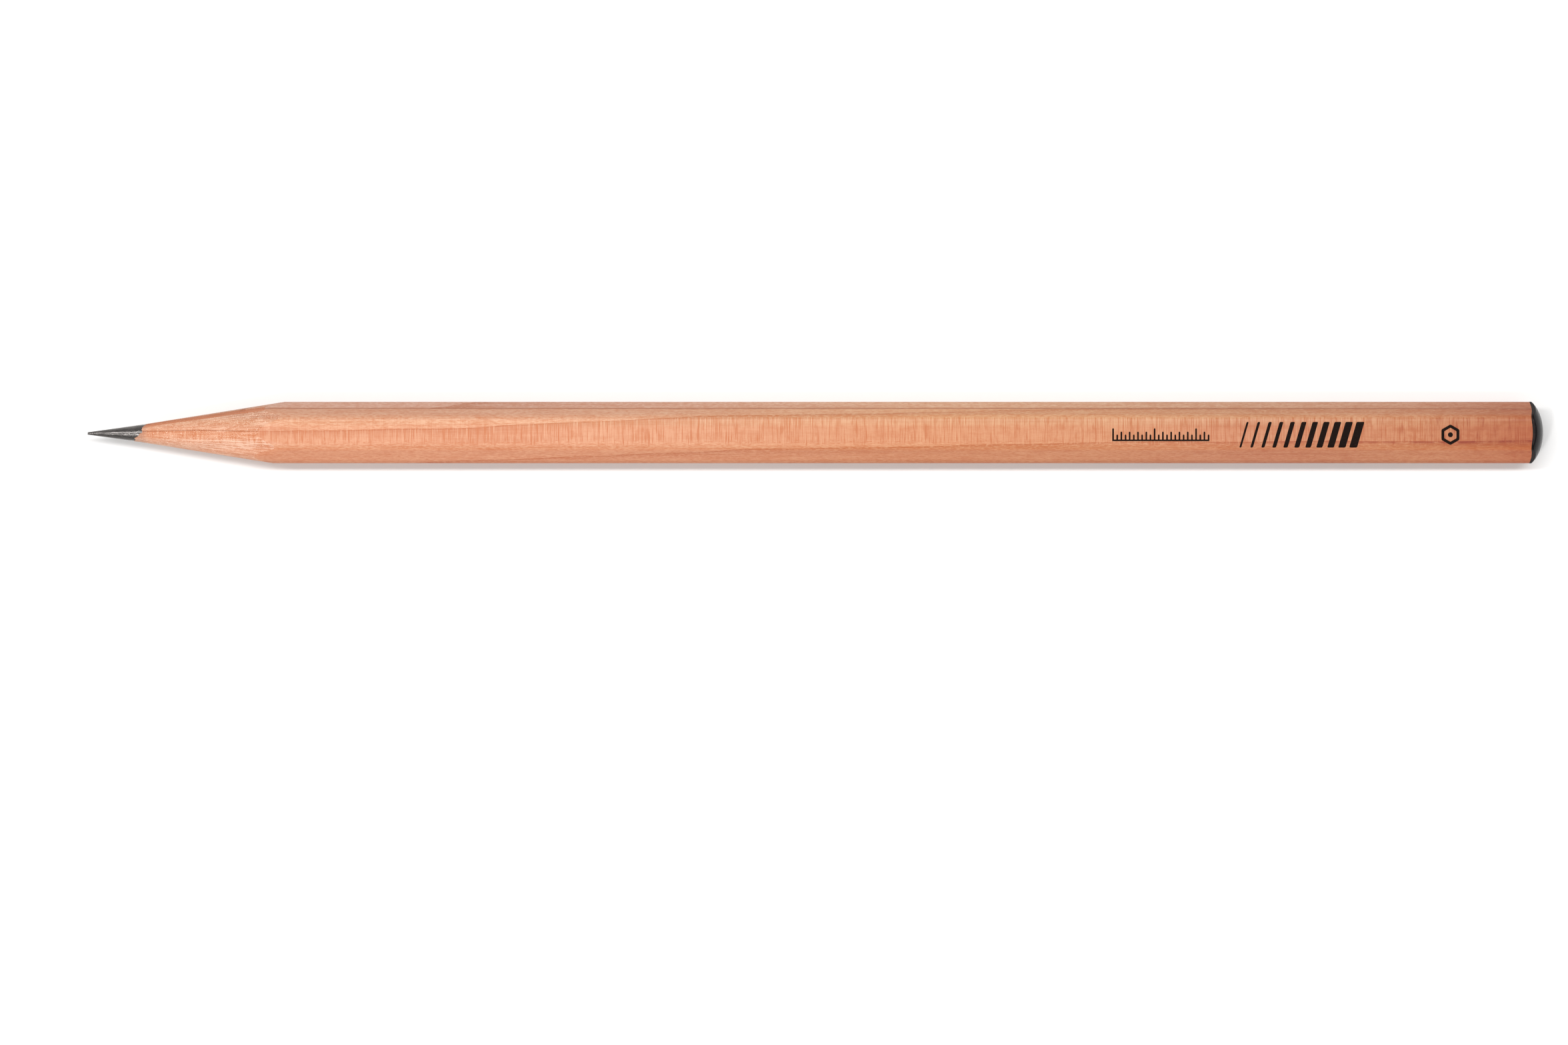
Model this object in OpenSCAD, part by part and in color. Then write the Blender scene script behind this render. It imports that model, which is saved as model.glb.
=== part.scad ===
// Wooden pencil: six-sided cedar casing in two glued slats, a full-length
// graphite core, a sharpened point, a dipped end and printed marks.
// It lies along X on one flat facet, with its point at -X and that facet on Z = 0.

/* [Barrel] */
// Length from the worn point to the crown of the dipped end
total_l = 176; // [172:0.5:180]
// Distance across the flats of the finished casing
across_flats = 6.7; // [6.5:0.1:7.2]
// Radius along the six long corners
corner_r = 0.95; // [0.8:0.05:1.1]

/* [Core and glue] */
// Diameter of the graphite core
core_d = 2.1; // [1.9:0.05:2.3]
// Thickness of the glue between the two slats
joint_t = 0.1; // [0.06:0.02:0.16]
// Thickness of the glue between the core and its groove
sleeve_t = 0.06; // [0.04:0.02:0.1]

/* [Sharpened point] */
// Diameter of the worn flat at the very tip
tip_d = 0.31; // [0.2:0.01:0.6]
// Half angle of the bare graphite cone
graphite_half_angle = 7.85; // [7.5:0.05:8.5]
// Half angle of the cut wood behind it
wood_half_angle = 9.1; // [8.6:0.1:10]
// How far the sharpened cone sits off the barrel's axis, towards -Y
cone_offset = 0.11; // [0:0.01:0.15]

/* [Dipped end] */
// Radius of the glossy outer dome
dome_r = 5.6; // [5.4:0.1:5.9]
// Radius of the flatter dome under the outer coat, and of the wood's own end
bed_r = 6.4; // [6:0.1:6.8]
// Thickness of the outer coat at the barrel's corners, where it is thinnest
rim_t = 0.03; // [0.03:0.01:0.1]
// Thickness of the first coat, which shows as a band round the edge
base_t = 0.2; // [0.15:0.01:0.3]

/* [Printed marks] */
// Thickness of the pressed-in foil
foil_t = 0.05; // [0.04:0.01:0.08]
// Distance from the crown to the near end of each side's small section mark
section_mark_x = 10.2; // [8:0.1:12]
// Size of the section mark across its corners
section_mark_d = 2.5; // [2:0.1:2.6]
// Distance from the crown to the near end of the front's weight mark
weight_mark_x = 21.8; // [16:0.1:24]
// Length of the weight mark
weight_mark_l = 15.1; // [12:0.1:16]
// Height of the weight mark
weight_mark_h = 3.1; // [2.6:0.1:3.2]
// Distance from the crown to the near end of the front's fine scale
front_scale_x = 40.5; // [40:0.1:60]
// Number of half-millimetre steps on the front scale
front_scale_steps = 23; // [10:1:40]
// Distance from the crown to the near end of the back's fine scale
back_scale_x = 21.4; // [16:0.1:24]
// Number of half-millimetre steps on the back scale
back_scale_steps = 52; // [20:1:60]

/* [Hidden] */
$fn = 96;

// Cutting solids reach this far past whatever they cut
over = 10;
// Facets repeat round the barrel at this angle
facet_step = 60;
half_step = facet_step / 2;
// Each rounded corner is this many narrow strips
corner_steps = 6;
axis_h = across_flats / 2;
core_r = core_d / 2;
groove_r = core_r + sleeve_t;

// The point: the worn tip, then the edge where graphite meets wood
tip_x = -total_l / 2;
graphite_l = (core_r - tip_d / 2) / tan(graphite_half_angle);
wood_start_x = tip_x + graphite_l;
cone_wide_r = across_flats;
cone_wide_x = wood_start_x + (cone_wide_r - core_r) / tan(wood_half_angle);

// The dipped end: the three domes share the barrel's axis
crown_x = total_l / 2;
dome_x = crown_x - dome_r;
corner_reach = (axis_h - corner_r) / cos(half_step) + corner_r;
function rim_depth(radius) = sqrt(radius ^ 2 - corner_reach ^ 2);
bed_x = dome_x + rim_depth(dome_r) - rim_t - rim_depth(bed_r);
wood_end_x = bed_x - base_t;
// The barrel is still full size here, and its domed end begins past it
flank_x = dome_x + dome_r / 2;

// The glue plane meets the middle of the facet that leans this far above +Y
glue_angle = 30;

// Printed marks sit this far off the middle of their facet
mark_shift = 0.3;
// Both long scales are drawn with one line weight and one set of tick heights
scale_line = 0.2;
scale_step = 0.5;
tick_short = 0.8;
tick_middle = 1.15;
tick_long = 1.55;
section_line = 0.35;
section_dot_d = 0.6;
weight_strokes = 11;
weight_first = 0.25;
weight_last = 0.95;
weight_slant = 0.9;

// Six-sided outline with rounded corners and flats facing up and down;
// an inset moves every side of it inwards by the same amount
module outline(inset = 0) {
  r = corner_r - inset;
  reach = (axis_h - inset - r) / cos(half_step);
  polygon([
    for (i = [0:5], k = [0:corner_steps])
      let (a = facet_step * (i + k / corner_steps) - half_step)
        [reach * cos(facet_step * i) + r * cos(a), reach * sin(facet_step * i) + r * sin(a)]
  ]);
}

// Stands a Y-Z section along X from one end to the other
module along_x(from, to) {
  translate([from, 0, 0]) rotate([90, 0, 90]) linear_extrude(to - from) children();
}

// Turns a profile of radius against X about the X axis
module turned() {
  rotate([0, 90, 0]) rotate_extrude() children();
}

// Everything that the sharpener leaves: a graphite cone, then a wider wood cone
module sharpened_space() {
  translate([0, -cone_offset, 0]) turned()
    polygon([
      [0, tip_x],
      [tip_d / 2, tip_x],
      [core_r, wood_start_x],
      [cone_wide_r, cone_wide_x],
      [cone_wide_r, crown_x + over],
      [0, crown_x + over]
    ]);
}

module dome_ball(centre_x, radius) {
  translate([centre_x, 0, 0]) sphere(radius);
}

// A bar of the section given as its child, sharpened at one end and domed at the other
module finished_bar() {
  union() {
    intersection() {
      along_x(tip_x, flank_x) children();
      sharpened_space();
    }
    intersection() {
      along_x(flank_x, crown_x) children();
      dome_ball(wood_end_x, bed_r);
    }
  }
}

// Half of the casing's section: side is 1 above the glue plane and -1 below it
module slat_section(side) {
  difference() {
    intersection() {
      outline();
      rotate(glue_angle)
        translate([-over, side > 0 ? joint_t / 2 : -joint_t / 2 - over]) square([2 * over, over]);
    }
    circle(groove_r);
  }
}

// The glue's section: a line from side to side with a ring round the core
module glue_section() {
  difference() {
    union() {
      intersection() {
        outline();
        rotate(glue_angle) square([2 * over, joint_t], center = true);
      }
      circle(groove_r);
    }
    circle(core_r);
  }
}

// A layer of foil thickness that follows the casing's skin past its corners
module foil_layer(from, to) {
  difference() {
    along_x(from, to) outline();
    along_x(from - over, to + over) outline(foil_t);
  }
}

// One mark, drawn flat with its far end at x = 0, as foil in the top facet
module top_mark(from_crown, length) {
  at_x = crown_x - from_crown - length;
  intersection() {
    foil_layer(at_x - mark_shift, at_x + length + mark_shift);
    translate([at_x, -mark_shift, 0]) linear_extrude(across_flats) children();
  }
}

// The same on the opposite facet, turned half round the barrel
module bottom_mark(from_crown, length) {
  rotate([180, 0, 0]) top_mark(from_crown, length) children();
}

function tick_height(i) = i % 10 == 0 ? tick_long : i % 2 == 0 ? tick_middle : tick_short;
function scale_length(steps) = steps * scale_step + scale_line;

// A base line with ticks half a millimetre apart, longer at each 1 and 5 mm
module scale_shape(steps) {
  low = -tick_long / 2;
  polygon([
    [0, low],
    for (i = [0:steps])
      each [
        [i * scale_step, low + (i == 0 ? tick_height(0) : scale_line)],
        [i * scale_step, low + tick_height(i)],
        [i * scale_step + scale_line, low + tick_height(i)],
        [i * scale_step + scale_line, low + (i == steps ? tick_height(i) : scale_line)]
      ],
    [scale_length(steps), low]
  ]);
}

// Slanted strokes that grow from light to heavy
module weight_shape() {
  pitch = (weight_mark_l - weight_slant - weight_last) / (weight_strokes - 1);
  for (i = [0:weight_strokes - 1]) {
    w = weight_first + (weight_last - weight_first) * i / (weight_strokes - 1);
    translate([i * pitch, -weight_mark_h / 2])
      polygon([[0, 0], [w, 0], [w + weight_slant, weight_mark_h], [weight_slant, weight_mark_h]]);
  }
}

// The pencil's own section: a six-sided ring round a dot
module section_shape() {
  translate([section_mark_d / 2, 0]) {
    difference() {
      rotate(half_step) circle(d = section_mark_d, $fn = 6);
      rotate(half_step) circle(d = section_mark_d - 2 * section_line, $fn = 6);
    }
    circle(d = section_dot_d);
  }
}

module front_scale_foil() {
  top_mark(front_scale_x, scale_length(front_scale_steps)) scale_shape(front_scale_steps);
}

module front_weight_foil() {
  top_mark(weight_mark_x, weight_mark_l) weight_shape();
}

module front_section_foil() {
  top_mark(section_mark_x, section_mark_d) section_shape();
}

module back_scale_foil() {
  bottom_mark(back_scale_x, scale_length(back_scale_steps)) scale_shape(back_scale_steps);
}

module back_section_foil() {
  bottom_mark(section_mark_x, section_mark_d) section_shape();
}

// Lifts the pencil from its own axis onto the surface that it lies on
module lying() {
  translate([0, 0, axis_h]) children();
}

module slat_upper() {
  color("#E3A988") lying()
    difference() {
      finished_bar() slat_section(1);
      front_scale_foil();
      front_weight_foil();
      front_section_foil();
    }
}

module slat_lower() {
  color("#DB9C78") lying()
    difference() {
      finished_bar() slat_section(-1);
      back_scale_foil();
      back_section_foil();
    }
}

module graphite_core() {
  color("#6A6663") lying() finished_bar() circle(core_r);
}

module glue_film() {
  color("#B07A5C") lying() finished_bar() glue_section();
}

// One coat on the domed end: what lies inside its own dome and outside the one beneath
module end_coat(outer_x, outer_r, inner_x) {
  difference() {
    intersection() {
      along_x(flank_x, crown_x + over) outline();
      dome_ball(outer_x, outer_r);
    }
    dome_ball(inner_x, bed_r);
  }
}

module end_dip_base() {
  color("#33261F") lying() end_coat(bed_x, bed_r, wood_end_x);
}

module end_dip_cap() {
  color("#1E1A1C") lying() end_coat(dome_x, dome_r, bed_x);
}

module front_scale_mark() {
  color("#2A2220") lying() front_scale_foil();
}

module front_weight_mark() {
  color("#2A2220") lying() front_weight_foil();
}

module front_section_mark() {
  color("#2A2220") lying() front_section_foil();
}

module back_scale_mark() {
  color("#2A2220") lying() back_scale_foil();
}

module back_section_mark() {
  color("#2A2220") lying() back_section_foil();
}

slat_upper();
slat_lower();
graphite_core();
glue_film();
end_dip_base();
end_dip_cap();
front_scale_mark();
front_weight_mark();
front_section_mark();
back_scale_mark();
back_section_mark();
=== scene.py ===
import math

import bmesh
import bpy
from mathutils import Matrix, Vector, noise


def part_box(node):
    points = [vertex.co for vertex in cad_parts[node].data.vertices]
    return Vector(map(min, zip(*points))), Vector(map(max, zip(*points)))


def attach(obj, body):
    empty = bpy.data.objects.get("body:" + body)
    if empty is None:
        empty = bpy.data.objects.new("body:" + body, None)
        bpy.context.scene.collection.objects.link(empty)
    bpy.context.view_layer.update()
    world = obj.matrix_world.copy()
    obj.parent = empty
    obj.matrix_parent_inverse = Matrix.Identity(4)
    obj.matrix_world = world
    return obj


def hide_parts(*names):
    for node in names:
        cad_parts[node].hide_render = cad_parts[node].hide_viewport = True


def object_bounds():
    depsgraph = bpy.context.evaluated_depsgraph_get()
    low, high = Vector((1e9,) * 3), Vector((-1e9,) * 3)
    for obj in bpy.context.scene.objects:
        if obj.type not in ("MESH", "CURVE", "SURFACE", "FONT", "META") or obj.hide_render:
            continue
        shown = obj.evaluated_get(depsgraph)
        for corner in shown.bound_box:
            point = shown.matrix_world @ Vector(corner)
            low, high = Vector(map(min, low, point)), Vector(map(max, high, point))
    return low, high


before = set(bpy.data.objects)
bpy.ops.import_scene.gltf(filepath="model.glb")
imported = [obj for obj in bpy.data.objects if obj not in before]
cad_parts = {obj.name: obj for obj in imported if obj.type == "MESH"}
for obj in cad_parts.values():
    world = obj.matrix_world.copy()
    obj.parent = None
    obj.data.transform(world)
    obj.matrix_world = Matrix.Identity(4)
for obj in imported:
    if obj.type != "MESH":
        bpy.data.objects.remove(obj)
cad_low, cad_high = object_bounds()

# ---------------------------------------------------------------- sizes, in millimetres
MM = 0.001
FLAT_HALF_ANGLE = math.radians(30)


def box_mm(node):
    low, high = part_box(node)
    return Vector(low) / MM, Vector(high) / MM


tip_x = cad_low.x / MM
crown_x = cad_high.x / MM
apothem = (cad_high.z - cad_low.z) / MM / 2
axis_z = cad_low.z / MM + apothem
corner_reach = cad_high.y / MM
corner_r = (apothem / math.cos(FLAT_HALF_ANGLE) - corner_reach) / (1 / math.cos(FLAT_HALF_ANGLE) - 1)
corner_centre = corner_reach - corner_r
flat_half = corner_centre * math.sin(FLAT_HALF_ANGLE)

core_low, core_high = box_mm("graphite_core")
core_r = (core_high.y - core_low.y) / 2
# The glue: round the core, and half of the layer between the slats
SLEEVE_T = 0.06
JOINT_HALF = 0.05
GLUE_ANGLE = math.radians(30)
groove_r = core_r + SLEEVE_T

# The sharpened cone: a worn flat tip, bare graphite, then wood, all a little off the barrel's axis
TIP_R = 0.155
CONE_OFFSET = 0.11
GRAPHITE_SLOPE = math.tan(math.radians(7.85))
WOOD_SLOPE = math.tan(math.radians(9.1))
wood_start_x = tip_x + (core_r - TIP_R) / GRAPHITE_SLOPE

# The dipped end: the wood's own dome, the first coat's dome and the outer dome
base_low, base_high = box_mm("end_dip_base")
cap_start_x = box_mm("end_dip_cap")[0].x
base_t = cap_start_x - base_low.x
bed_crown_x = base_high.x
bed_sag = bed_crown_x - cap_start_x
bed_r = (corner_reach**2 + bed_sag**2) / (2 * bed_sag)
DOME_R = 5.6
# Half of the outer dome's shape is this flatter-crowned ellipsoid
OVAL_DEPTH = 2.05
OVAL_SPREAD = 3.95
# How far both coats stand proud of the casing, and how much of its end the first one covers
COAT_PROUD = 0.014
COAT_OVERLAP = 0.12
RIM_ROUNDING = 0.07

# How the mesh is divided. Round the casing, in degrees: the facets, the distance between
# columns on a corner and on a facet, and the columns nearest a seam
FACET_DEGREES = 60
CORNER_PITCH = 1.9
FACET_PITCH = 3.75
SEAM_STEPS = (0.0, 0.35, 0.9, 1.8)
# Along the pencil
CONE_ROWS = 72
BARREL_ROWS = 56
SLAT_END_STEPS = 6
CORE_COLUMNS = 128
CORE_ROWS = 44
GLUE_CONE_ROWS = 40
GLUE_BARREL_ROWS = 60
GLUE_TUBE_COLUMNS = 48
DOME_ROWS = 24
BED_ROWS = 8
RIM_STEPS = 8
# Edges sharper than this stay sharp, and points nearer than these become one
SMOOTH_ANGLE = math.radians(35)
MERGE_M = 1e-8
MERGE_MM = 1e-5

# How far the cut wood, the lacquered wood and the core lie inside their ideal shapes on average
CUT_INSET = 0.006
SKIN_INSET = 0.004
CORE_INSET = 0.008
# How much deeper the two columns nearest a seam lie, and how deep the glue lies in the seam
SEAM_DROPS = (0.03, 0.008)
GLUE_INSET = 0.026
THINNEST_WALL = 0.02
# The worn tip: how far it is worn back, its slant, then shares of its radius with their depths
TIP_INSET = 0.012
TIP_SLANT = 0.02
TIP_ROUNDING = ((0.55, 0.008), (0.85, 0.014), (0.97, 0.03), (1.0, 0.07))
# The graphite cone: the knife's five facets, its roughness, and how it goes on under the wood
KNIFE_FACET = 0.007
CORE_ROUGHNESS = 0.004
CORE_UNDER_WOOD = 0.55
CORE_STEP_DOWN = 0.022
# The ragged line between graphite and wood: noise seed, size, and waves round the cone
RAGGED_EDGE = ((3.1, 0.32, 2.2), (9.4, 0.16, 7), (5.2, 0.07, 21))


# ---------------------------------------------------------------- the pencil's surfaces
def blend_between(a, b, t):
    return a + (b - a) * t


def bezier(a, b, c, t):
    """A point on the short curve from a to c that bends towards b."""
    return a * (1 - t) ** 2 + b * 2 * t * (1 - t) + c * t**2


def barrel_radius(angle):
    """Distance from the axis to the casing's skin; angle runs from +Y towards +Z."""
    period = 2 * FLAT_HALF_ANGLE
    off = abs((angle + FLAT_HALF_ANGLE) % period - FLAT_HALF_ANGLE)
    arc_end = math.atan2(
        corner_r * math.sin(FLAT_HALF_ANGLE),
        corner_centre + corner_r * math.cos(FLAT_HALF_ANGLE),
    )
    if off < arc_end:
        across = corner_centre * math.sin(off)
        return corner_centre * math.cos(off) + math.sqrt(corner_r**2 - across**2)
    return apothem / math.cos(FLAT_HALF_ANGLE - off)


def cone_own_radius(x):
    slope = WOOD_SLOPE if x > wood_start_x else GRAPHITE_SLOPE
    return core_r + (x - wood_start_x) * slope


def cone_radius(x, angle):
    """Distance from the barrel's axis to the sharpened cone, whose own axis is off towards -Y."""
    own = cone_own_radius(x)
    across = CONE_OFFSET * math.sin(angle)
    return math.sqrt(max(own**2 - across**2, 0)) - CONE_OFFSET * math.cos(angle)


def cone_reaches(radius, angle):
    """Where along X the cone is this far from the barrel's axis."""
    own = math.sqrt(radius**2 + 2 * radius * CONE_OFFSET * math.cos(angle) + CONE_OFFSET**2)
    slope = WOOD_SLOPE if own > core_r else GRAPHITE_SLOPE
    return wood_start_x + (own - core_r) / slope


def bed_x(radius):
    return bed_crown_x - bed_r + math.sqrt(bed_r**2 - radius**2)


def wood_end_x(radius):
    return bed_x(radius) - base_t


def dome_x(radius):
    """The glossy dome: midway between a ball and a flatter-crowned ellipsoid."""
    ball = DOME_R - math.sqrt(DOME_R**2 - radius**2)
    oval = OVAL_DEPTH * (1 - math.sqrt(1 - (radius / OVAL_SPREAD) ** 2))
    return crown_x - (ball + oval) / 2


def wander(seed, *where):
    """Smooth noise between about -1 and 1; each use has a seed of its own."""
    return noise.noise(Vector([*where, 0, 0][:3]) + Vector((seed, seed * 1.7, seed * 0.3)))


def wood_edge_x(angle):
    """The ragged line where bare graphite meets wood."""
    ragged = 0.0
    for seed, size, waves in RAGGED_EDGE:
        ragged += size * wander(seed, waves * math.cos(angle), waves * math.sin(angle))
    return cone_reaches(core_r, angle) + ragged


def lacquer_edge_x(angle):
    """The scalloped line where the sharpener cut into the lacquered barrel."""
    around = (9 * math.cos(angle), 9 * math.sin(angle))
    return cone_reaches(barrel_radius(angle), angle) + 0.09 * wander(1.3, *around)


def dip_edge_x(angle):
    """The line round the barrel's far end where the black coat stops."""
    around = (6 * math.cos(angle), 6 * math.sin(angle))
    level = blend_between(wood_end_x(apothem), wood_end_x(barrel_radius(angle)), 0.6)
    return level - COAT_OVERLAP + 0.02 * wander(7.7, *around)


def at(x, radius, angle, centre_y=0.0):
    """A point in metres, from its place in millimetres round the barrel's axis."""
    y = centre_y + radius * math.cos(angle)
    z = axis_z + radius * math.sin(angle)
    return Vector((x, y, z)) * MM


def top_z(y):
    """Height of the upper skin above the axis, across the top facet and its rounded corners."""
    past = max(abs(y) - flat_half, 0)
    return apothem - corner_r + math.sqrt(corner_r**2 - past**2)


def angles_between(start, stop):
    """Angles from start to stop in degrees, closer together round the corners."""
    found = []
    for corner in range(0, 721, FACET_DEGREES):
        middle = corner + FACET_DEGREES / 2
        found += [corner + k * CORNER_PITCH for k in range(-4, 5)]
        found += [middle + k * FACET_PITCH for k in range(-5, 6)]
    inside = sorted(a for a in found if start + SEAM_STEPS[-1] < a < stop - SEAM_STEPS[-1])
    first = [start + s for s in SEAM_STEPS]
    last = [stop - s for s in reversed(SEAM_STEPS)]
    return first + inside + last


# ---------------------------------------------------------------- mesh building
def finish_piece(name, bm, materials):
    """Turns the mesh into a piece that rides on the pencil's body and replaces its CAD node."""
    bmesh.ops.recalc_face_normals(bm, faces=bm.faces)
    mesh = bpy.data.meshes.new(name)
    bm.to_mesh(mesh)
    bm.free()
    piece = bpy.data.objects.new(name, mesh)
    bpy.context.collection.objects.link(piece)
    for material in materials:
        mesh.materials.append(material)
    mesh.shade_smooth()
    mesh.set_sharp_from_angle(angle=SMOOTH_ANGLE)
    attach(piece, "root")
    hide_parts(name)
    return piece


def skin(bm, columns, closed_round, closed_along, material_rows=()):
    """Quads over a grid of points, one list of points per column; marked rows get material 1."""
    grid = [[bm.verts.new(p) for p in column] for column in columns]
    count, length = len(grid), len(grid[0])
    for c in range(count if closed_round else count - 1):
        near, far = grid[c], grid[(c + 1) % count]
        for r in range(length if closed_along else length - 1):
            n = (r + 1) % length
            face = bm.faces.new((near[r], far[r], far[n], near[n]))
            face.material_index = 1 if material_rows and material_rows[r] else 0
    return grid


def revolve(name, profile, angles, material):
    """A closed solid round the axis; profile(angle) goes from axis to axis as (x, radius, centre)."""
    bm = bmesh.new()
    columns = [[at(x, r, a, cy) for x, r, cy in profile(a)] for a in angles]
    skin(bm, columns, True, False)
    bmesh.ops.remove_doubles(bm, verts=bm.verts, dist=MERGE_M)
    return finish_piece(name, bm, [material])


# ---------------------------------------------------------------- slats
def slat_column(start, share, nominal, seam_drop):
    """Outer points from the graphite's edge to the dip, then the end, then back along the groove."""

    def angle_at(radius):
        gap = math.asin(JOINT_HALF / radius)
        return start + gap + share * (math.pi - 2 * gap)

    on_barrel = angle_at(apothem)
    around = (5 * math.cos(on_barrel), 5 * math.sin(on_barrel))
    first_x = wood_edge_x(nominal)
    edge_x = lacquer_edge_x(on_barrel)
    last_x = dip_edge_x(on_barrel)
    outer, inner = [], []
    for row in range(CONE_ROWS):
        x = blend_between(first_x, edge_x, row / CONE_ROWS)
        a = angle_at(cone_own_radius(x))
        cut = CUT_INSET + CUT_INSET * wander(4.4, x * 0.9, 8 * math.cos(a), 8 * math.sin(a))
        r = cone_radius(x, a) - cut - seam_drop
        outer.append(at(x, r, a))
        inner.append(at(x, min(groove_r, r - THINNEST_WALL), a))
    for row in range(BARREL_ROWS + 1):
        t = row / BARREL_ROWS
        x = blend_between(edge_x, last_x, t)
        sunk = SKIN_INSET + SKIN_INSET * wander(2.2, x * 0.15, *around)
        outer.append(at(x, barrel_radius(on_barrel) - sunk - seam_drop, on_barrel))
        inner.append(at(x if t < 1 else wood_end_x(groove_r), groove_r, angle_at(groove_r)))
    end = []
    for step in range(1, SLAT_END_STEPS):
        r = blend_between(barrel_radius(on_barrel), groove_r, step / SLAT_END_STEPS)
        end.append(at(wood_end_x(r), r, angle_at(r)))
    return outer, end, inner


def make_slat(name, start_degrees, lacquered, bare):
    """Half of the casing, from one seam to the other; cut and hidden faces are bare wood."""
    start = math.radians(start_degrees)
    nominal = [math.radians(a) for a in angles_between(start_degrees, start_degrees + 180)]
    columns = []
    for index, a in enumerate(nominal):
        from_seam = min(index, len(nominal) - 1 - index)
        drop = SEAM_DROPS[from_seam] if from_seam < len(SEAM_DROPS) else 0.0
        columns.append(slat_column(start, (a - start) / math.pi, a, drop))
    bm = bmesh.new()
    outer_count = CONE_ROWS + BARREL_ROWS + 1
    loops = [outer + end + inner[::-1] for outer, end, inner in columns]
    rows_bare = [not CONE_ROWS <= r < outer_count - 1 for r in range(len(loops[0]))]
    grid = skin(bm, loops, False, True, rows_bare)
    for side in (grid[0], grid[-1]):
        outer = side[:outer_count]
        inner = side[-outer_count:][::-1]
        for r in range(outer_count - 1):
            bm.faces.new((outer[r], outer[r + 1], inner[r + 1], inner[r])).material_index = 1
        bm.faces.new(side[outer_count - 1 : len(side) - outer_count + 1]).material_index = 1
    return finish_piece(name, bm, [lacquered, bare])


# ---------------------------------------------------------------- core, glue and dips
def core_profile(angle):
    """The core: a worn tip, the bare cone with slight knife facets, then a rod inside the wood."""
    points = [(tip_x + TIP_INSET, 0.0, -CONE_OFFSET)]
    worn = TIP_SLANT * math.cos(angle - 0.7)
    for share, back in TIP_ROUNDING:
        points.append((tip_x + back + TIP_INSET + worn * share * 0.5, TIP_R * share, -CONE_OFFSET))
    hidden_x = cone_reaches(core_r, angle) + CORE_UNDER_WOOD
    for step in range(1, CORE_ROWS + 1):
        x = blend_between(tip_x + 0.08, hidden_x, step / CORE_ROWS)
        facet = KNIFE_FACET * math.cos(5 * angle + 0.6 * math.sin(2 * angle))
        rough = CORE_ROUGHNESS * wander(6.1, x * 1.5, 5 * math.cos(angle), 5 * math.sin(angle))
        fade = min((x - tip_x) / 2, 1)
        r = cone_own_radius(x) - CORE_INSET + (facet + rough) * fade
        under = min(max((x - cone_reaches(core_r, angle) + 0.45) / 0.15, 0), 1)
        points.append((x, r - CORE_STEP_DOWN * under, -CONE_OFFSET))
    for x in (hidden_x + 0.4, wood_end_x(core_r) - 1, wood_end_x(core_r)):
        points.append((x, core_r - 0.005, 0.0))
    points.append((wood_end_x(0), 0.0, 0.0))
    return points


def base_profile(angle):
    """First coat: out over the wood's dome, forward along the side, back in over its own dome."""
    r = barrel_radius(angle)
    start_x = dip_edge_x(angle)
    stop_x = bed_x(r)
    radii = [r * k / BED_ROWS for k in range(1, BED_ROWS)]
    points = [(wood_end_x(0), 0.0)]
    points += [(wood_end_x(radius), radius) for radius in radii]
    points += [(start_x, r - 0.02), (start_x - 0.012, r - 0.002), (start_x, r + COAT_PROUD * 0.6)]
    points += [(start_x + 0.04, r + COAT_PROUD), (stop_x, r + COAT_PROUD)]
    points += [(bed_x(radius), radius) for radius in reversed(radii)]
    points.append((bed_crown_x, 0.0))
    return [(x, radius, 0.0) for x, radius in points]


def cap_profile(angle):
    """Outer coat: over the bed, a short side, a rounded rim and the glossy dome."""
    r = barrel_radius(angle) + COAT_PROUD
    inner = r - RIM_ROUNDING
    rim_x = dome_x(r)
    back_x = min(bed_x(r), rim_x - RIM_ROUNDING - 0.01)
    radii = [r * k / BED_ROWS for k in range(1, BED_ROWS)]
    points = [(bed_crown_x, 0.0)]
    points += [(bed_x(radius), radius) for radius in radii]
    points += [(back_x, r - 0.01), (back_x, r)]
    before = Vector((rim_x - RIM_ROUNDING, r))
    corner = Vector((rim_x, r))
    after = Vector((dome_x(inner), inner))
    shares = [k / RIM_STEPS for k in range(RIM_STEPS + 1)]
    points += [tuple(bezier(before, corner, after, share)) for share in shares]
    radii = [inner * k / DOME_ROWS for k in range(DOME_ROWS - 1, 0, -1)]
    points += [(dome_x(radius), radius) for radius in radii]
    points.append((crown_x, 0.0))
    return [(x, radius, 0.0) for x, radius in points]


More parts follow.
